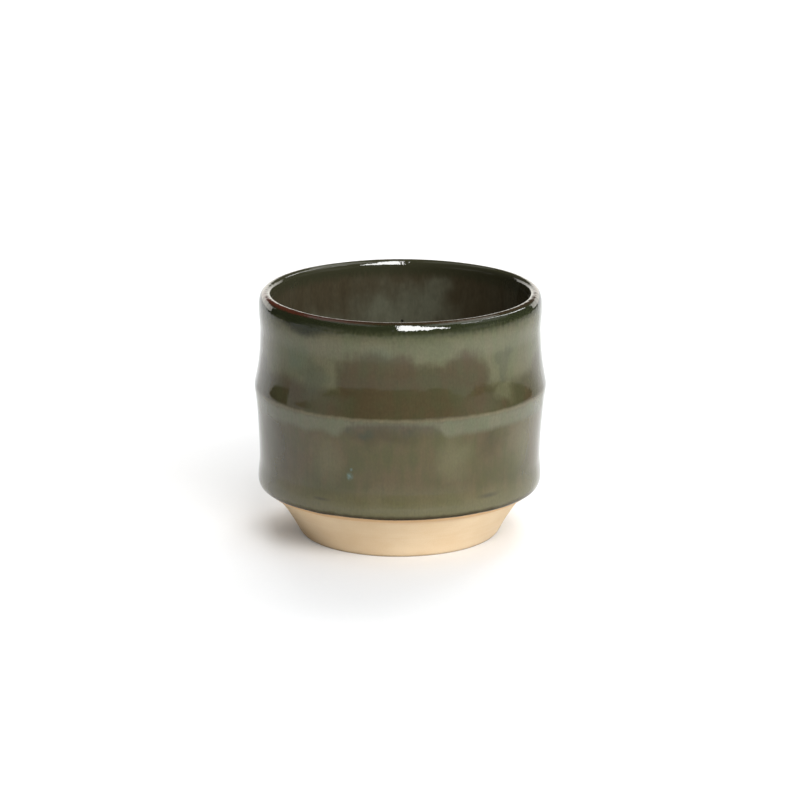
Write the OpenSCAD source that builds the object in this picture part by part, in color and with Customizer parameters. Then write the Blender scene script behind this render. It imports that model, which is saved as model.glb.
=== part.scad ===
// Yunomi tea cup: a low stoneware cup, thrown on the wheel, with a ridge round it like a bamboo joint.
// One body of fired clay carries three coats of fired glaze: outside, over the lip and inside.
// Sizes are in millimetres. The cup's axis is Z, and its bare foot stands on z = 0.

/* [Foot] */
// Diameter of the foot where it stands on the table
foot_d = 57.6; // [50:0.2:66]
// Height of the foot, up to the neck where the hip begins
foot_h = 12.3; // [10:0.1:14]
// Width of the ring that stands on the table
foot_ring_w = 6; // [4:0.5:8]
// Bevel on both edges of that ring
foot_bevel = 0.7; // [0.3:0.1:1.2]
// How far the side of the foot is hollowed in from a straight line
foot_hollow = 0.5; // [0:0.1:1]
// Depth of the well turned out under the foot
well_depth = 5.5; // [4.5:0.5:7]
// How much the well narrows towards its roof, on each side
well_draft = 0.8; // [0.4:0.1:2]
// Radius between the side of the well and its roof
well_round = 2; // [1:0.5:3]

/* [Outside of the wall] */
// Diameter over the glaze at the waist between the hip and the ridge
wall_d = 80.3; // [70:0.1:95]
// Height from the table to the top of the lip
cup_h = 70.4; // [62:0.2:90]
// How far the neck lies inside the waist
neck_inset = 3.75; // [2.5:0.05:5]
// Height of the hip above the neck
hip_h = 4.1; // [3.8:0.1:7]
// How far the hip stands out from the waist
hip_rise = 0.4; // [0.1:0.05:2]
// How far below the hip its curve has its corner
hip_turn = 3; // [1.5:0.1:3.5]
// Height of the waist above the hip
waist_h = 6; // [2:0.1:10]
// Height of the ridge above the table
ridge_z = 43.2; // [36:0.1:48]
// How far the ridge stands out from the waist
ridge_rise = 1.45; // [0.5:0.05:4]
// Half the height of the ridge's rounded crest
ridge_crest = 1.1; // [0.4:0.1:3]
// How far the waist above the ridge lies below the top of the lip
upper_waist_drop = 11.6; // [9:0.2:13]
// How far the waist above the ridge lies inside the waist below it
upper_waist_inset = 0.2; // [0:0.05:1.5]
// How far the mouth stands out from the waist above the ridge
mouth_rise = 0.3; // [0:0.05:2]

/* [Lip and inside] */
// Width of the lip's rounding outside, from its top to the mouth
lip_w_out = 2.25; // [1.2:0.05:3]
// How far the lip's rounding comes down outside
lip_drop_out = 4.6; // [2:0.1:6]
// Width of the lip's rounding inside
lip_w_in = 1.5; // [0.6:0.05:2.2]
// How far the lip's rounding comes down inside
lip_drop_in = 2.7; // [1.5:0.1:4]
// How square the lip's rounding is: 2 is a plain ellipse
lip_square = 2.5; // [2:0.1:3.5]
// Thickness of the wall and its glaze where the inside begins to curve into the floor
wall_low_t = 4.4; // [3.5:0.1:7]
// Radius between the inside of the wall and the floor
floor_round = 15; // [8:0.5:20]
// Thickness of the clay floor over the well
floor_t = 5; // [4:0.5:8]

/* [Glaze] */
// Height of the bare strip between the neck and the outer coat's lower edge
bare_strip_h = 1.9; // [1:0.1:3]
// Thickness of the outer coat
outer_glaze_t = 0.5; // [0.3:0.05:0.7]
// Thickness of the glaze over the lip, where it runs thin in the kiln
lip_glaze_t = 0.2; // [0.1:0.05:0.3]
// Thickness of the liner
liner_glaze_t = 0.4; // [0.25:0.05:0.6]
// Height over which the outer coat and the liner thin out towards the lip
glaze_thinning = 8; // [4:0.5:12]
// Length over which the outer coat's lower edge is rounded off
glaze_edge = 0.9; // [0.5:0.1:1.5]

/* [Hidden] */
$fn = 180;

// Straight segments along each stretch of the outline
wall_steps = 14;
lip_steps = 10;
foot_steps = 8;

// Radii over the glaze
wall_r = wall_d / 2;
upper_waist_r = wall_r - upper_waist_inset;
mouth_r = upper_waist_r + mouth_rise;
lip_r = mouth_r - lip_w_out;
inside_r = lip_r - lip_w_in;

// Stations of the clay outline as [radius, height], with the glaze taken off where it is glazed
neck = [wall_r - neck_inset, foot_h];
hip = [wall_r + hip_rise - outer_glaze_t, neck.y + hip_h];
waist = [wall_r - outer_glaze_t, hip.y + waist_h];
ridge = [wall_r + ridge_rise - outer_glaze_t, ridge_z];
upper_waist = [upper_waist_r - outer_glaze_t, cup_h - upper_waist_drop];
mouth = [mouth_r - lip_glaze_t, cup_h - lip_drop_out];
lip_top = [lip_r, cup_h - lip_glaze_t];
inside_top = [inside_r + lip_glaze_t, cup_h - lip_drop_in];
floor_z = well_depth + floor_t;
corner_r = floor_round + liner_glaze_t;
corner = [wall_r - wall_low_t - floor_round, floor_z + corner_r];
inside_low = [corner.x + corner_r, corner.y];
foot_r = foot_d / 2;
well_r = foot_r - foot_ring_w;

function mix(a, b, t) = a + (b - a) * t;

function arc(center, rx, ry, from, to, n) =
    [for (k = [0:n]) let (a = mix(from, to, k / n)) center + [rx * cos(a), ry * sin(a)]];

// One side of the lip's rounding, from a station below it up to its top
function lip_curve(from) =
    let (power = 2 / lip_square)
    [for (k = [0:lip_steps])
        let (a = 90 * k / lip_steps)
        [mix(lip_top.x, from.x, pow(cos(a), power)), mix(from.y, lip_top.y, pow(sin(a), power))]];

// Curve from one station to another that leaves and arrives upright
function swell(from, to, n) =
    [for (k = [0:n]) let (t = k / n) [mix(from.x, to.x, (1 - cos(180 * t)) / 2), mix(from.y, to.y, t)]];

// One side of the ridge, from its rounded crest out to a waist.
// A parabola on the crest runs smoothly into another that ends upright at the waist.
function flank(crest, waist, n) =
    let (
        rise = crest.x - waist.x,
        run = abs(waist.y - crest.y),
        way = sign(waist.y - crest.y)
    )
    [for (k = [0:n])
        let (
            u = run * pow(k / n, 2),
            drop = u < ridge_crest
                ? u * u / (ridge_crest * run)
                : 1 - pow(run - u, 2) / (run * (run - ridge_crest))
        )
        [crest.x - rise * drop, crest.y + way * u]];

function reversed(points) = [for (k = [len(points) - 1:-1:0]) points[k]];

function without_first(points) = [for (k = [1:1:len(points) - 1]) points[k]];

function part_of(points, first, last) = [for (k = [first:last]) points[k]];

// The hip is a quadratic curve from the neck, with its corner straight below the hip
hip_corner = [hip.x, hip.y - hip_turn];
function hip_curve(t) = mix(mix(neck, hip_corner, t), mix(hip_corner, hip, t), t);

// Where on that curve the glaze ends
hip_bend = neck.y - 2 * hip_corner.y + hip.y;
hip_climb = 2 * (hip_corner.y - neck.y);
glaze_start = 2 * bare_strip_h / (hip_climb + sqrt(hip_climb * hip_climb + 4 * hip_bend * bare_strip_h));

// Bare clay from the middle of the well, round the foot ring and up to the glaze line
well_side = [well_r - well_draft, well_depth - well_round];
bare_clay = concat(
    [[0, well_depth]],
    reversed(arc(well_side - [well_round, 0], well_round, well_round, 0, 90, foot_steps)),
    [[well_r, foot_bevel], [well_r + foot_bevel, 0], [foot_r - foot_bevel, 0]],
    [for (k = [0:foot_steps])
        let (t = k / foot_steps)
        [mix(foot_r, neck.x, t) - 4 * foot_hollow * t * (1 - t), mix(foot_bevel, neck.y, t)]],
    [for (k = [1:foot_steps - 1]) hip_curve(glaze_start * k / foot_steps)]
);

// Glazed clay from the glaze line up the outside, over the lip and down to the middle of the floor
outside = concat(
    [for (k = [0:wall_steps]) hip_curve(mix(glaze_start, 1, pow(k / wall_steps, 2)))],
    without_first(swell(hip, waist, lip_steps)),
    without_first(reversed(flank(ridge, waist, wall_steps))),
    without_first(flank(ridge, upper_waist, wall_steps)),
    without_first(swell(upper_waist, mouth, lip_steps))
);
over_lip = concat(
    without_first(lip_curve(mouth)),
    without_first(reversed(lip_curve(inside_top)))
);
inside = concat(
    without_first(swell(inside_top, inside_low, wall_steps)),
    without_first(arc(corner, corner_r, corner_r, 0, -90, wall_steps)),
    [[0, floor_z]]
);
glazed_clay = concat(outside, over_lip, inside);

outer_end = len(outside) - 1;
lip_end = outer_end + len(over_lip);
liner_end = len(glazed_clay) - 1;

// Direction out of the clay at a point of the glazed outline
function out_of_clay(k) =
    let (way = glazed_clay[min(k + 1, liner_end)] - glazed_clay[max(k - 1, 0)])
    [way.y, -way.x] / norm(way);

// Share of full thickness: nothing at the lower edge, then a rounded step
function edge_share(k) =
    let (gap = max(0, 1 - norm(glazed_clay[k] - glazed_clay[0]) / glaze_edge))
    sqrt(1 - gap * gap);

function thinned(full_t, below_lip) = mix(lip_glaze_t, full_t, min(1, below_lip / glaze_thinning));

function coat_t(k) =
    k <= outer_end ? edge_share(k) * thinned(outer_glaze_t, mouth.y - glazed_clay[k].y)
    : k <= lip_end ? lip_glaze_t
    : thinned(liner_glaze_t, inside_top.y - glazed_clay[k].y);

glaze_face = [for (k = [0:liner_end]) glazed_clay[k] + coat_t(k) * out_of_clay(k)];

// A coat of glaze between two points of the outline: clay on one side, the glaze's own face on the other.
// The outer coat runs out to nothing at its lower edge, so its face starts one point later than its clay.
module coat(first, last, face_first) {
    rotate_extrude()
        polygon(concat(
            part_of(glazed_clay, first, last),
            reversed(part_of(glaze_face, face_first, last))
        ));
}

// Clay wall, floor and turned foot in one piece
module clay_body() {
    color([0.88, 0.77, 0.62])
        rotate_extrude()
            polygon(concat(bare_clay, glazed_clay));
}

// Coat outside, from its rounded edge above the foot to the mouth
module outer_glaze() {
    color([0.38, 0.36, 0.28])
        coat(0, outer_end, 1);
}

// Thin red-brown line of glaze over the lip
module lip_glaze() {
    color([0.33, 0.2, 0.13])
        coat(outer_end, lip_end, outer_end);
}

// Liner: the coat inside, down the wall and over the floor
module liner_glaze() {
    color([0.27, 0.26, 0.2])
        coat(lip_end, liner_end, lip_end);
}

clay_body();
outer_glaze();
lip_glaze();
liner_glaze();
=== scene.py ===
import math

import bmesh
import bpy
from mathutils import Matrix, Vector, noise


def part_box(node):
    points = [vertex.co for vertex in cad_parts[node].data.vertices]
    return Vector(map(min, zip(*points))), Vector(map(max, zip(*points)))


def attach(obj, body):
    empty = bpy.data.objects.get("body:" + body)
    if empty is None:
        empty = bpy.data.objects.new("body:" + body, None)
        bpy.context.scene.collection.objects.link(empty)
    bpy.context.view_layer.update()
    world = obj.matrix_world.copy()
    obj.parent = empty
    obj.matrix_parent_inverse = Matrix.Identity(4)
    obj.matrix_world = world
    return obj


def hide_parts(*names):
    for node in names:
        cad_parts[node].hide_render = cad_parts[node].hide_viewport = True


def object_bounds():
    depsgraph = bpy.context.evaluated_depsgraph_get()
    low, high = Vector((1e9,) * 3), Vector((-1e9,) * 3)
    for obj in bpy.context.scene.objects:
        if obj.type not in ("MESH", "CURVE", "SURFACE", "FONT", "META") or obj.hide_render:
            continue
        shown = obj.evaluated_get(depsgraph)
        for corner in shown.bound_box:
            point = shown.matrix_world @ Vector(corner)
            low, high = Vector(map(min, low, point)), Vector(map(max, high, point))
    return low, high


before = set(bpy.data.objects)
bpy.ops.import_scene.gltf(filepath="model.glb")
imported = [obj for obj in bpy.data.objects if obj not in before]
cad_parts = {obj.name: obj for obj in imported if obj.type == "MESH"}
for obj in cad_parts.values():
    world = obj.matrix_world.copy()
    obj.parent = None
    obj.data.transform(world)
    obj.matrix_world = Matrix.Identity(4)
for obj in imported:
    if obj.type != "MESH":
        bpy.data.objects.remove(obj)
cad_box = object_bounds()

# Clay body
# A low cup thrown on the wheel in one lump of cream stoneware, with its foot turned out of the same clay.
# Only the foot is bare: the rest of the clay lies under the glaze coats, which are fused to it.
MM = 0.001
AXIS = Vector((0, 0, 1))
CUP_H = cad_box[1].z
GLAZE_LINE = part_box("outer_glaze")[0].z
FOOT_SIDE_RADIUS = 33 * MM
LEAN = 0.0054
TOUCHING = 0.0001 * MM
LONG_EDGE = 4 * MM
EDGE_STEP = 1.5 * MM
SHARP_ANGLE = math.radians(35)
CREAM = (0.65, 0.48, 0.29, 1)
PALE_CREAM = (0.71, 0.555, 0.365, 1)
CLAY_SHADE = (0.30, 0.215, 0.125, 1)
FLASHED = (0.54, 0.30, 0.125, 1)
PAINTED_CONTACT_SHADE = (0.26, 0.19, 0.12, 1)

# Sides of the foot darkened with painted shade, each as its azimuth in degrees, its width in mm and its
# strength
SHADED_SIDES = ((-78, 50, 0.6), (62, 44, 0.2))


def out_from_axis(place):
    """Level direction away from the axis, and the distance from it."""
    flat = Vector((place.x, place.y, 0))
    return flat.normalized(), flat.length


def section_of(node):
    """Half of a node's cross-section, as a wire of edges on the +X side of the axis."""
    wire = bmesh.new()
    wire.from_mesh(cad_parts[node].data)
    bmesh.ops.remove_doubles(wire, verts=wire.verts, dist=TOUCHING)
    for side, keep_only_cut in (((1, 0, 0), False), ((0, 1, 0), True)):
        bmesh.ops.bisect_plane(
            wire,
            geom=wire.verts[:] + wire.edges[:] + wire.faces[:],
            dist=TOUCHING,
            plane_co=(0, 0, 0),
            plane_no=side,
            clear_inner=True,
            clear_outer=keep_only_cut,
        )
    for edge in [edge for edge in wire.edges if edge.calc_length() > LONG_EDGE]:
        bmesh.ops.subdivide_edges(wire, edges=[edge], cuts=round(edge.calc_length() / EDGE_STEP))
    return wire


def by_hand(place):
    """How far a point of a true round cup is shifted on the hand-made one, which leans and is uneven."""
    out, _ = out_from_axis(place)
    lean = Vector((LEAN * (place.z - 0.5 * CUP_H), 0, 0))
    uneven = 0.16 * MM * noise.noise(1.1 * out + AXIS * place.z / (30 * MM))
    dimples = 0.13 * MM * noise.noise(place / (11 * MM))
    lip_wave = 0.12 * MM * (place.z / CUP_H) ** 3 * noise.noise(1.6 * out + Vector((5, 5, 5)))
    return lean + out * (uneven + dimples) + AXIS * lip_wave


def add_object(name, shape):
    """A new object with this shape for its mesh."""
    mesh = bpy.data.meshes.new(name)
    shape.to_mesh(mesh)
    shape.free()
    item = bpy.data.objects.new(name, mesh)
    bpy.context.collection.objects.link(item)
    return item


def thrown(name, node, steps, marks):
    """A piece of the cup: the node's section turned round the axis, with marks of its making."""
    shape = section_of(node)
    bmesh.ops.spin(
        shape,
        geom=shape.verts[:] + shape.edges[:],
        cent=(0, 0, 0),
        axis=AXIS,
        angle=math.tau,
        steps=steps,
        use_merge=True,
    )
    bmesh.ops.remove_doubles(shape, verts=shape.verts, dist=0.001 * MM)
    bmesh.ops.recalc_face_normals(shape, faces=shape.faces)
    shape.normal_update()
    crease = shape.edges.layers.float.new("crease_edge")
    for edge in shape.edges:
        if edge.calc_face_angle(0) > SHARP_ANGLE:
            edge[crease] = 1
            edge.smooth = False
    for face in shape.faces:
        face.smooth = True
    shifts = [by_hand(vert.co) + marks(vert.co, vert.normal) for vert in shape.verts]
    for vert, shift in zip(shape.verts, shifts):
        vert.co += shift
    piece = add_object(name, shape)
    rounded = piece.modifiers.new("rounded", "SUBSURF")
    rounded.levels = 1
    rounded.render_levels = 1
    return piece


class Shade:
    """A value in a material's node tree. Arithmetic on it adds Math nodes."""

    def __init__(self, tree, socket):
        self.tree = tree
        self.socket = socket

    def node(self, kind, settings, inputs, output=0):
        """What a new node gives, from its type, its settings and the values or links of its sockets."""
        node = self.tree.nodes.new(kind)
        for name, setting in settings.items():
            setattr(node, name, setting)
        for key, given in inputs.items():
            if isinstance(given, Shade):
                self.tree.links.new(given.socket, node.inputs[key])
            else:
                node.inputs[key].default_value = given
        return Shade(self.tree, node.outputs[output])

    def math(self, operation, *values):
        return self.node("ShaderNodeMath", {"operation": operation}, dict(enumerate(values)))

    def vector(self, operation, *values, output="Vector"):
        inputs = dict(enumerate(values))
        return self.node("ShaderNodeVectorMath", {"operation": operation}, inputs, output)

    def length(self):
        """How far a place lies from the origin."""
        return self.vector("LENGTH", self, output="Value")

    def along(self, way):
        """How far a place lies along a direction."""
        return self.vector("DOT_PRODUCT", self, way, output="Value")

    def __add__(self, other):
        return self.math("ADD", self, other)

    __radd__ = __add__

    def __sub__(self, other):
        return self.math("SUBTRACT", self, other)

    def __rsub__(self, other):
        return self.math("SUBTRACT", other, self)

    def __mul__(self, other):
        return self.math("MULTIPLY", self, other)

    __rmul__ = __mul__

    def __abs__(self):
        return self.math("ABSOLUTE", self)

    def __or__(self, other):
        return self.math("MAXIMUM", self, other)

    def rise(self, low, high):
        """From 0 to 1, smoothly, as the value goes from low to high."""
        inputs = {"Value": self, "From Min": low, "From Max": high}
        return self.node("ShaderNodeMapRange", {"interpolation_type": "SMOOTHSTEP"}, inputs)

    def blend(self, first, second):
        """A colour between two colours, by a value from 0 to 1."""
        inputs = {"Factor": self, 6: first, 7: second}
        return self.node("ShaderNodeMix", {"data_type": "RGBA"}, inputs, 2)

    def lit(self, strength):
        """A colour made lighter or darker by a factor."""
        return self.node("ShaderNodeVectorMath", {"operation": "SCALE"}, {0: self, "Scale": strength})

    def stretched(self, wide, tall):
        """A place in units that are so many metres wide and tall."""
        return self.vector("MULTIPLY", self, (1 / wide, 1 / wide, 1 / tall))

    def speckle(self, wide, tall, detail=2.0):
        """Random value about 0.5 at a place, in patches so many metres wide and tall."""
        inputs = {"Vector": self.stretched(wide, tall), "Scale": 1, "Detail": detail}
        return self.node("ShaderNodeTexNoise", {}, inputs)

    def stirred(self, size, reach):
        """A place moved at random by up to so far, in swirls of this size, so that edges wander."""
        inputs = {"Vector": self.stretched(size, size), "Scale": 1, "Detail": 2}
        swirl = self.node("ShaderNodeTexNoise", {"normalize": False}, inputs, "Color")
        return self.vector("MULTIPLY_ADD", swirl, (reach, reach, reach), self)

    def near(self, middle, wide, tall, core):
        """From 1 to 0 outwards over a soft patch, so many metres wide and tall, whose core is even."""
        away = self.vector("SUBTRACT", self, middle).stretched(wide / 2, tall / 2)
        return 1 - away.length().rise(core, 1)

    def bump(self, depth):
        """Normals for a surface with this value as relief, so many metres deep."""
        return self.node("ShaderNodeBump", {}, {"Height": self, "Distance": depth})


def finish(piece, name):
    """A new material on a piece: its shader, and the place and height that its colours go by."""
    material = bpy.data.materials.new(name)
    material.use_nodes = True
    piece.data.materials.append(material)
    tree = material.node_tree
    start = Shade(tree, None)
    place = start.node("ShaderNodeTexCoord", {}, {}, "Object")
    height = start.node("ShaderNodeSeparateXYZ", {}, {"Vector": place}, "Z")
    return tree.nodes["Principled BSDF"], place, height


def wire_up(shader, **values):
    """Links values to a shader's sockets, named with underscores for spaces."""
    for name, value in values.items():
        value.tree.links.new(value.socket, shader.inputs[name.replace("_", " ")])


def stands_for(piece, node):
    """Ties a piece to the cup and hides the CAD node that it dresses."""
    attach(piece, "root")
    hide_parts(node)


def turning_spiral(place, normal):
    """Shallow spiral that the turning tool leaves in the well under the foot."""
    _, radius = out_from_axis(place)
    if place.z < 3 * MM or normal.z > 0:
        return Vector()
    depth = 0.1 * MM * normal.z ** 4 * min(1, radius / (4 * MM))
    return normal * depth * math.sin(math.tau * radius / (4.5 * MM) + math.atan2(place.y, place.x))


def around(azimuth, elevation, distance):
    """A place seen from the cup's foot, with the azimuth in degrees to the right of the camera."""
    side = math.radians(azimuth)
    up = math.radians(elevation)
    level = Vector((math.sin(side) * math.cos(up), -math.cos(side) * math.cos(up), 0))
    return distance * (level + AXIS * math.sin(up))


clay = thrown("turned_clay", "clay_body", steps=96, marks=turning_spiral)
shader, place, height = finish(clay, "bare_clay")
sand = place.speckle(0.35 * MM, 0.35 * MM, 4)
tool_lines = place.speckle(60 * MM, 0.5 * MM)
tone = place.speckle(9 * MM, 5 * MM)
flash = (height + (tone - 0.5) * (1.2 * MM)).rise(GLAZE_LINE - 2.2 * MM, GLAZE_LINE - 0.5 * MM)
# Painted shade: the clay darkens at the very bottom of the foot, standing in for the shadow where it meets
# the floor
contact_shade = 1 - (height + (sand - 0.5) * (0.3 * MM)).rise(0.1 * MM, 0.7 * MM)
colour = (sand * 0.3 + tool_lines * 0.2 + tone * 0.5).rise(0.3, 0.7).blend(CREAM, PALE_CREAM)
# Painted shade on the sides of the foot, deep on the left and light on the right
for azimuth, wide, strength in SHADED_SIDES:
    side = place.near(around(azimuth, 0, FOOT_SIDE_RADIUS), wide * MM, 60 * MM, 0.2)
    colour = (side * strength).blend(colour, CLAY_SHADE)
colour = (flash * (0.35 + sand * 0.6)).blend(colour, FLASHED)
colour = (contact_shade * 0.7).blend(colour, PAINTED_CONTACT_SHADE)
wire_up(
    shader,
    Base_Color=colour,
    Roughness=0.72 + sand * 0.25,
    Normal=(sand * 0.5 + tool_lines * 0.5).bump(0.1 * MM),
)
shader.inputs["Specular IOR Level"].default_value = 0.3
stands_for(clay, "clay_body")

# Liner glaze
# The coat of glaze inside, poured in and out again while the clay was raw, then melted to glass in the kiln.
# It is fused to the clay down the wall and over the floor, and shows the rings that the fingers left.
DARK_OLIVE = (0.032, 0.031, 0.016, 1)
LINER_BROWN = (0.046, 0.036, 0.020, 1)
LINER_GREY = (0.106, 0.106, 0.072, 1)
PINHOLE = (0.012, 0.011, 0.008, 1)
INSIDE_RADIUS = 36 * MM

# Patches on a wall, here and below: each has its azimuth in degrees,
# then the height of its middle above a level, its width and its own height in mm
GREY_CLOUDS = (
    (181, -19, 46, 38),
    (166, -14, 24, 30),
    (220, -22, 32, 26),
    (95, -34, 30, 34),
    (20, -24, 36, 36),
    (300, -36, 32, 34),
)
LINER_PINHOLES = ((179, -18.2, 1.2, 1.2), (238, -40, 1, 1))


def throwing_rings(place, normal):
    """Soft rings up the wall and a spiral on the floor, on the face that looks into the cup."""
    _, radius = out_from_axis(place)
    inwards = (AXIS * 0.6 * CUP_H - place).normalized()
    below_lip = min(1, max(0, 1 - place.z / (0.9 * CUP_H)) * 3)
    depth = 0.09 * MM * max(0, normal.dot(inwards)) * below_lip * min(1, radius / (3 * MM))
    turn = math.tau * (radius + place.z) / (6.5 * MM) + math.atan2(place.y, place.x)
    return normal * depth * math.sin(turn)


def on_wall(place, radius, level, patches, core=0.0):
    """From 0 to 1 where any of some soft patches lies on a wall of this radius."""
    shares = [
        place.near(around(azimuth, 0, radius) + AXIS * (level + above * MM), wide * MM, tall * MM, core)
        for azimuth, above, wide, tall in patches
    ]
    together = shares[0]
    for share in shares[1:]:
        together = together | share
    return together


def glassy(shader, place, wide=2.2 * MM, tall=3.5 * MM, depth=0.035 * MM):
    """Gloss of a melted glaze, with a faint unevenness so many metres wide, tall and deep."""
    ripple = place.speckle(wide, tall, 3)
    wire_up(shader, Roughness=0.02 + ripple * 0.05, Normal=ripple.bump(depth))
    shader.inputs["IOR"].default_value = 1.52


liner = thrown("liner_coat", "liner_glaze", steps=96, marks=throwing_rings)
shader, place, height = finish(liner, "liner_glaze")
glassy(shader, place)
grain = place.speckle(0.7 * MM, 1.6 * MM, 3)
streaks = place.speckle(1.1 * MM, 9 * MM, 3)
clouds = place.speckle(5 * MM, 9 * MM, 2)
grey = on_wall(place.stirred(8 * MM, 4 * MM), INSIDE_RADIUS, CUP_H, GREY_CLOUDS)
colour = (grey + (clouds - 0.5) * 0.6).rise(-0.15, 1.15).blend(LINER_BROWN, LINER_GREY)
near_lip = (height + (streaks - 0.5) * (4 * MM)).rise(CUP_H - 6 * MM, CUP_H - 2.5 * MM)
colour = near_lip.blend(colour, DARK_OLIVE)
colour = on_wall(place, INSIDE_RADIUS, CUP_H, LINER_PINHOLES, 0.4).blend(colour, PINHOLE)
wire_up(shader, Base_Color=colour.lit(0.6 + streaks * 0.35 + grain * 0.45))
stands_for(liner, "liner_glaze")

# Outer glaze
# The coat of glaze outside, from a rounded edge above the bare foot up to the mouth.
# It is brown where it lies thin and grey-green where it gathered, and it ran down a little as it melted.
BROWN = (0.060, 0.045, 0.022, 1)
OLIVE = (0.051, 0.048, 0.022, 1)
UMBER = (0.073, 0.051, 0.016, 1)
MOSS = (0.049, 0.045, 0.009, 1)
DARK_BROWN = (0.033, 0.024, 0.001, 1)
KHAKI = (0.099, 0.088, 0.037, 1)
CELADON = (0.088, 0.092, 0.046, 1)
WARM_CELADON = (0.098, 0.092, 0.050, 1)
TEAL = (0.070, 0.096, 0.058, 1)
POOLED = (0.024, 0.030, 0.014, 1)
DIM = (0.060, 0.064, 0.036, 1)
DARK_GREEN = (0.017, 0.020, 0.008, 1)
CREST_TAN_AND_HIGHLIGHT = (0.14, 0.115, 0.06, 1)
TURQUOISE = (0.09, 0.14, 0.115, 1)
DARK_HEM_AND_SHADE = (0.045, 0.034, 0.015, 1)
WALL_RADIUS = 40 * MM
DOWN_HIP = (0.61, 0.79)

BROWN_CLOUDS = (
    (-13, 9, 23, 25),
    (-3, 8.8, 18, 24),
    (10, 7.4, 24, 21),
    (26, 9.4, 20, 22.5),
    (78, 7, 18, 16),
    (108, 8, 24, 20),
    (142, 6, 18, 17),
    (176, 8.5, 26, 21),
    (214, 6, 18, 16),
    (248, 8, 24, 20),
    (284, 5, 16, 14),
)
GREEN_NOTCHES = ((46, 6.3, 12, 11), (126, 7, 12, 13), (196, 6.5, 12, 12), (266, 7, 14, 13))
DIM_PATCHES = (
    (47, 15, 9.5, 6),
    (47.5, 11.6, 6.5, 9),
    (-37, 9.6, 11, 15),
    (157, 12, 8, 7),
    (233, 11, 9, 6),
)
THIN_BANDS = ((-2, 0, 34, 60), (104, 0, 26, 60), (186, 0, 34, 60), (258, 0, 24, 60))
# Paler clouds of the glaze; the narrow one low on the hip at 40 degrees is a painted highlight
LIGHT_CLOUDS_AND_HIGHLIGHT = (
    (-30, -12.5, 15, 20),
    (22, -12, 15, 20),
    (58, -10, 20, 22),
    (40, -26.4, 14, 4),
    (132, -13, 15, 16),
    (190, -15, 18, 20),
    (242, -12, 14, 14),
    (296, -16, 18, 16),
)
# Darker clouds of the glaze; the one at -58 degrees is painted shade on the left of the lower wall
DARK_CLOUDS_AND_SHADE = (
    (-6, -4, 34, 9),
    (38, -7, 14, 16),
    (-58, -13, 26, 28),
    (100, -5, 24, 10),
    (184, -4.5, 30, 10),
    (256, -5, 22, 10),
)
POOLS = (
    (-20, -3, 6, 4),
    (-13, -3.4, 7, 5),
    (2, -3, 6, 4),
    (112, -4, 8, 5),
    (196, -3.5, 9, 5),
    (262, -4, 7, 5),
)
# Painted reflection: short dark strokes on the hip, where the dark room is mirrored
DARK_REFLECTION_DASHES = ((-33, -24.4, 8, 1.5), (38, -24, 11, 2), (118, -24.6, 9, 1.6), (205, -24.2, 10, 1.8))
TURQUOISE_SPECKS = ((-20.3, -16.8, 3.2, 3.6), (-19.6, -14.8, 1.6, 1.8))
TEAL_RUNS = ((-9, 17, 14, 12), (-46, 14, 16, 14), (92, 16, 16, 14), (168, 17, 14, 12), (238, 15, 18, 14))
# Longer dark runs below the lip; the one at -42 degrees is painted reflection of the dark room
LIP_RUNS_AND_REFLECTION = ((-42, -4, 20, 14), (118, -4, 18, 14), (214, -4, 22, 14))
WALL_PINHOLES = ((9.2, 5, 1, 1), (-15.3, -1.3, 0.8, 0.8), (163, 9, 0.9, 0.9), (231, -14, 0.8, 0.8))


def wandering_hem(place, normal):
    """The lower edge of the glaze wanders a little along the hip, where it ran and stopped."""
    out, _ = out_from_axis(place)
    share = max(0, 1 - (place.z - GLAZE_LINE) / (5 * MM)) ** 2
    run = 0.3 * MM * noise.noise(5 * out) + 0.3 * MM * noise.noise(1.5 * out)
    return (out * DOWN_HIP[0] + AXIS * DOWN_HIP[1]) * (run * share)


outer = thrown("outer_coat", "outer_glaze", steps=128, marks=wandering_hem)
coat_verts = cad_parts["outer_glaze"].data.vertices
ridge_z = max(coat_verts, key=lambda vert: out_from_axis(vert.co)[1]).co.z
shader, place, height = finish(outer, "outer_glaze")
glassy(shader, place)
grain = place.speckle(0.5 * MM, 0.8 * MM, 3)
grains = place.speckle(1.2 * MM, 2.2 * MM, 3)
streaks = place.speckle(0.5 * MM, 16 * MM, 3)
runs = place.speckle(3 * MM, 14 * MM, 2)
lobes = place.speckle(8 * MM, 20 * MM, 1)
clouds = place.speckle(9 * MM, 9 * MM, 3)
stirred = place.vector("MULTIPLY_ADD", streaks - 0.5, (0, 0, 1.5 * MM), place.stirred(6 * MM, 2 * MM))


def patches(spots, core=0.0, where=stirred):
    """Where patches of the wall lie. Their edges wander unless the plain place is given."""
    return on_wall(where, WALL_RADIUS, ridge_z, spots, core)


def gathered(place):
    """Grey-green of the glaze where it gathered, warmer in runs down the wall."""
    runs = place.speckle(3 * MM, 14 * MM, 2) * 0.6 + place.speckle(9 * MM, 9 * MM, 3) * 0.4
    return runs.rise(0.38, 0.62).blend(CELADON, WARM_CELADON)


def darkened_to_lip(place, height, colour):
    """A colour of the wall that turns dark green towards the lip, in grains and in a few longer runs; the
    deepest run, on the left, is painted reflection of the dark room.
    """
    grains = place.speckle(0.8 * MM, 1.4 * MM, 4)
    lower = on_wall(place, WALL_RADIUS, CUP_H, LIP_RUNS_AND_REFLECTION)
    below_lip = CUP_H - height + (grains - 0.5) * MM - lower * (2.8 * MM)
    wall_share = below_lip.rise(0.8 * MM, 5.4 * MM) * 0.7 + below_lip.rise(2.5 * MM, 9 * MM) * 0.3
    return (wall_share + (grains - 0.5) * 0.25).rise(0, 1).blend(DARK_GREEN, colour)


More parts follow.
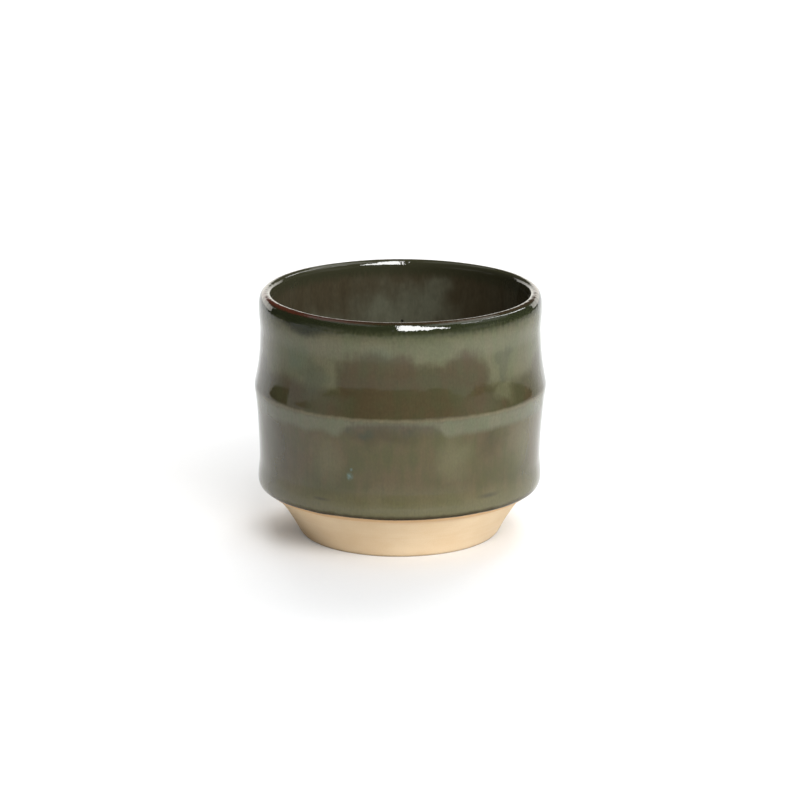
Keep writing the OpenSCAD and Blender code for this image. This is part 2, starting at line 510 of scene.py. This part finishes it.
celadon = (patches(TEAL_RUNS) * 0.6).blend(gathered(place), TEAL)
mottled = (clouds * 0.6 + runs * 0.4).rise(0.38, 0.62)
below_ridge = (ridge_z - height).rise(MM, 6 * MM)
colour = below_ridge.blend(mottled.blend(BROWN, OLIVE), mottled.blend(UMBER, MOSS))
above_hem = height + (clouds - 0.5) * (10 * MM)
hem_light = 1 - above_hem.rise(GLAZE_LINE, GLAZE_LINE + 11 * MM)
# Paler khaki near the hem and in clouds, one of them a painted highlight on the hip
colour = (hem_light | (patches(LIGHT_CLOUDS_AND_HIGHLIGHT) * 0.7)).blend(colour, KHAKI)
# Darker clouds, one of them painted shade on the left of the lower wall
colour = (patches(DARK_CLOUDS_AND_SHADE) * 0.65).blend(colour, DARK_BROWN)
colour = (patches(POOLS) * 0.8).blend(colour, POOLED)
# Painted reflection, in dark strokes along the hip
colour = (patches(DARK_REFLECTION_DASHES, where=place) * 0.7).blend(colour, DARK_OLIVE)
above_ridge = height - ridge_z + (lobes - 0.5) * (3 * MM) + (streaks - 0.5) * (0.6 * MM)
broken = (runs - 0.5) * (2.4 * MM) + (grains - 0.5) * (1.2 * MM)
band_top = (height - ridge_z + broken).rise(-1.4 * MM, 0.8 * MM)
under_ridge = (above_ridge - patches(THIN_BANDS, 0.6) * (3.6 * MM)).rise(-5.9 * MM, -3.5 * MM)
colour = (under_ridge * (1 - band_top)).blend(colour, celadon)
upper_band = above_ridge.rise(6 * MM, 10 * MM) * (1 - patches(BROWN_CLOUDS, 0.62))
colour = (upper_band | (patches(GREEN_NOTCHES, 0.3) * 0.8)).blend(colour, celadon)
colour = (patches(DIM_PATCHES, 0.5) * 0.6).blend(colour, DIM)
# A pale line along the ridge crest: partly the glaze breaking thin there, partly a painted highlight
crest_break_and_highlight = 1 - abs(height - ridge_z + broken * 0.3).rise(0.1 * MM, 0.8 * MM)
colour = (crest_break_and_highlight * grains * 0.8).blend(colour, CREST_TAN_AND_HIGHLIGHT)
colour = darkened_to_lip(place, height, colour)
specks = patches(TURQUOISE_SPECKS, where=place) * grain * 1.6
colour = specks.rise(0, 1).blend(colour, TURQUOISE)
colour = patches(WALL_PINHOLES, 0.4, where=place).blend(colour, PINHOLE)
# The dark line along the glaze edge is partly the glaze's own dark roll and partly painted shade; metallic
# there dims its reflection as the shade under the roll would
hem_line_and_shade = 1 - (height + (runs - 0.5) * (0.8 * MM)).rise(GLAZE_LINE + 0.3 * MM, GLAZE_LINE + 1.8 * MM)
colour = hem_line_and_shade.blend(colour, DARK_HEM_AND_SHADE)
wire_up(
    shader,
    Base_Color=colour.lit(0.55 + streaks * 0.2 + grain * 0.4 + clouds * 0.3),
    Metallic=hem_line_and_shade * 0.9,
)
stands_for(outer, "outer_glaze")

# Lip glaze
# The thin glaze over the rounded lip. It ran off the edge in the kiln and broke to red-brown on the crest.
# It joins the outer coat at the mouth and the liner inside.
RED_BROWN = (0.042, 0.013, 0.007, 1)
RUST = (0.066, 0.017, 0.008, 1)
CREST_RADIUS = 38 * MM
RED_ARCS = ((-50, 0, 62, 30), (140, 0, 50, 30), (215, 0, 40, 30))


def dipped(place, normal):
    """The glaze over the lip has no marks of its own."""
    return Vector()


lip = thrown("lip_coat", "lip_glaze", steps=128, marks=dipped)
shader, place, height = finish(lip, "lip_glaze")
glassy(shader, place, wide=2 * MM, tall=2 * MM, depth=0.08 * MM)
streaks = place.speckle(0.7 * MM, 14 * MM, 3)
radius = place.vector("MULTIPLY", place, (1, 1, 0)).length()
colour = darkened_to_lip(place, height, gathered(place))
colour = radius.rise(CREST_RADIUS - 0.6 * MM, CREST_RADIUS).blend(DARK_OLIVE, colour)
off_red = abs(radius - CREST_RADIUS - 0.65 * MM + (streaks - 0.5) * (0.6 * MM))
arcs = on_wall(place, CREST_RADIUS, CUP_H, RED_ARCS, 0.4)
red = (1 - off_red.rise(0.35 * MM, 0.75 * MM)) * (0.35 + arcs * 0.65)
rust = place.speckle(25 * MM, 25 * MM).rise(0.4, 0.6).blend(RED_BROWN, RUST)
wire_up(shader, Base_Color=red.blend(colour, rust))
stands_for(lip, "lip_glaze")

# Floor, light and camera
# White paper under the cup, soft light from a window and from behind, and a camera a little above the lip.
# The sheets of the studio are seen by the gloss of the glaze alone.
FLOOR_HALF = 4.0
PAPER = (0.70, 0.70, 0.695, 1)
PALE_PAPER = (0.72, 0.72, 0.715, 1)
PAPER_GLOW = (1, 0.995, 0.985, 1)
LIGHT_AIM = Vector((0, 0, 30 * MM))

sheet = bmesh.new()
bmesh.ops.create_grid(sheet, x_segments=1, y_segments=1, size=FLOOR_HALF)
floor = add_object("floor", sheet)
shader, place, _ = finish(floor, "paper")
fibre = place.speckle(1.5 * MM, 1.5 * MM, 3)
wire_up(shader, Base_Color=fibre.blend(PAPER, PALE_PAPER))
shader.inputs["Roughness"].default_value = 0.9
shader.inputs["Emission Color"].default_value = PAPER_GLOW
shader.inputs["Emission Strength"].default_value = 0.11

world = bpy.data.worlds.new("studio")
world.use_nodes = True
bpy.context.scene.world = world
background = world.node_tree.nodes["Background"]
background.inputs["Color"].default_value = (1, 1, 1, 1)
background.inputs["Strength"].default_value = 0.03


def soft_light(name, place, width, height, power, colour=(1, 1, 1)):
    """A flat light aimed at the cup, which doesn't show in the gloss. Its size is in metres."""
    data = bpy.data.lights.new(name, "AREA")
    data.shape = "RECTANGLE"
    data.size = width
    data.size_y = height
    data.energy = power
    data.color = colour
    light = bpy.data.objects.new(name, data)
    light.location = place
    light.rotation_euler = (LIGHT_AIM - place).to_track_quat("-Z", "Y").to_euler()
    light.visible_glossy = False
    bpy.context.collection.objects.link(light)


COOL_WHITE = (0.94, 1, 1.1)
soft_light("window", around(18, 38, 1.45), width=0.86, height=0.72, power=16.5)
soft_light("side", around(60, 18, 1.45), width=1.0, height=0.6, power=13.5, colour=COOL_WHITE)
soft_light("top", around(90, 85, 1.6), width=1.4, height=1.4, power=10)
soft_light("back", around(170, 45, 1.6), width=1.4, height=1.0, power=24)

ROOM_RADIUS = 1.8
ROOM_H = 2.0
PANE_DISTANCE = 1.4
DARK = (0.05, 0.047, 0.042, 1)
GREY_WALL = (0.5, 0.48, 0.45, 1)
PALE_WALL = (0.7, 0.7, 0.66, 1)
BACKDROP_WHITE = (2, 1.93, 1.8, 1)
NEAR_PAPER = (1.1, 1.08, 1.04, 1)
FAR_PAPER = (0.44, 0.41, 0.37, 1)
BACK_PAPER = (1.1, 1.1, 1.08, 1)
CEILING_WHITE = (2, 2, 1.9, 1)
TO_THE_RIGHT = (1, 0, 0)

# Patches on the wall of the room
GREY_SIDES = ((-62, 100, 1900, 700), (66, 150, 1900, 1200))
PALE_SIDE = ((85, 1400, 1700, 1900),)


def card(name, shape, strength=1):
    """A sheet of the studio that only the gloss sees. Its shader and place are for its colours."""
    item = add_object(name, shape)
    shader, place, _ = finish(item, name)
    shader.inputs["Base Color"].default_value = (0, 0, 0, 1)
    shader.inputs["Specular IOR Level"].default_value = 0
    shader.inputs["Emission Color"].default_value = (1, 1, 1, 1)
    shader.inputs["Emission Strength"].default_value = strength
    for ray in ("camera", "diffuse", "shadow", "transmission", "volume_scatter"):
        setattr(item, "visible_" + ray, False)
    return shader, place


def pane(name, stations, strength, distance=PANE_DISTANCE):
    """A bright upright sheet. Each station has its azimuth and the elevations of both edges."""
    shape = bmesh.new()
    posts = []
    for azimuth, low, high in stations:
        ends = [shape.verts.new(around(azimuth, elevation, distance)) for elevation in (low, high)]
        posts.append(shape.edges.new(ends))
    for left, right in zip(posts, posts[1:]):
        bmesh.ops.bridge_loops(shape, edges=[left, right])
    card(name, shape, strength)


def swept(start, turn, first, last):
    """A sheet swept round the cup from an azimuth on, from one distance and height to another."""
    sheet = bmesh.new()
    ends = [sheet.verts.new(around(start, 0, far) + AXIS * high) for far, high in (first, last)]
    sheet.edges.new(ends)
    bmesh.ops.spin(
        sheet,
        geom=sheet.verts[:] + sheet.edges[:],
        cent=(0, 0, 0),
        axis=AXIS,
        angle=math.radians(turn),
        steps=36,
    )
    return sheet


WINDOW_STATIONS = ((-2, 18, 72), (12, 18, 72), (24, 20, 40), (38, 22, 27))
SIDE_STATIONS = ((94, 43, 49), (106, 37, 43), (118, 30, 36), (130, 23, 28))
FAR_STATIONS = ((58, 41, 46), (80, 38, 43))
PAPER_STATIONS = (
    (-93, 0, 7),
    (-66, 0, 7.2),
    (-54, 0, 4.2),
    (-40, 0, 2.8),
    (-16, 0, 3.2),
    (0, 0, 5.2),
    (15, 0, 7),
    (50, 0, 6),
    (60, 0, 2.8),
    (82, 0, 2.6),
    (100, 0, 1.5),
)
pane("window_pane", WINDOW_STATIONS, strength=22)
pane("side_pane", SIDE_STATIONS, strength=11)
pane("far_pane", FAR_STATIONS, strength=6)
pane("paper_edge", PAPER_STATIONS, strength=0.52, distance=0.39)

# The walls of the room: dark, with grey and pale stretches, and white low down at the back
shader, place = card("room", swept(-127, 261, (ROOM_RADIUS, 0), (ROOM_RADIUS, ROOM_H)))
colour = on_wall(place, ROOM_RADIUS, 0, GREY_SIDES).blend(DARK, GREY_WALL)
pale = on_wall(place, ROOM_RADIUS, 0, PALE_SIDE, 0.5)
wire_up(shader, Emission_Color=pale.blend(colour, PALE_WALL))
shader, place = card("backdrop", swept(134, 99, (ROOM_RADIUS, 0), (ROOM_RADIUS, ROOM_H)))
upper = place.along(AXIS).rise(0.5, 0.68)
wire_up(shader, Emission_Color=upper.blend(BACKDROP_WHITE, DARK))

# The table: bright near the cup, on the right and at the back, and dark beyond the paper
shader, place = card("table", swept(-145, 290, (0.13, MM), (ROOM_RADIUS, MM)))
far = place.length()
way = place.vector("NORMALIZE", place)
to_back = way.along(around(188, 0, 1))
to_right = way.along(TO_THE_RIGHT)
colour = far.rise(0.1, 0.42).blend(NEAR_PAPER, FAR_PAPER)
colour = colour.lit(1 + to_right.rise(0.3, 0.9) * 0.35)
colour = to_back.rise(0.3, 0.8).blend(colour, BACK_PAPER)
beyond = (far - to_back.rise(0.5, 0.7) * 0.08).rise(0.53, 0.6) * (1 - to_back.rise(0.76, 0.82))
wire_up(shader, Emission_Color=beyond.blend(colour, DARK))

# The ceiling: pale on the left, dark in the middle and white on the right
ceiling = bmesh.new()
bmesh.ops.create_circle(ceiling, cap_ends=True, radius=ROOM_RADIUS + 0.1, segments=48)
bmesh.ops.translate(ceiling, verts=ceiling.verts, vec=AXIS * (ROOM_H - 0.01))
shader, place = card("ceiling", ceiling)
to_right = place.along(TO_THE_RIGHT)
colour = to_right.rise(-0.9, -0.3).blend(PALE_WALL, DARK)
wire_up(shader, Emission_Color=to_right.rise(0.3, 1).blend(colour, CEILING_WHITE))

LENS_MM = 174.6
SENSOR_MM = 36
CAMERA_PLACE = Vector((0, -1.0688, 0.3311))
CAMERA_AIM = Vector((0, 0, 38 * MM))
camera_data = bpy.data.cameras.new("camera")
camera_data.lens = LENS_MM
camera_data.sensor_width = SENSOR_MM
camera = bpy.data.objects.new("camera", camera_data)
bpy.context.collection.objects.link(camera)
camera.location = CAMERA_PLACE
camera.rotation_euler = (CAMERA_AIM - CAMERA_PLACE).to_track_quat("-Z", "Y").to_euler()
bpy.context.scene.camera = camera
bpy.context.scene.view_settings.view_transform = "Standard"
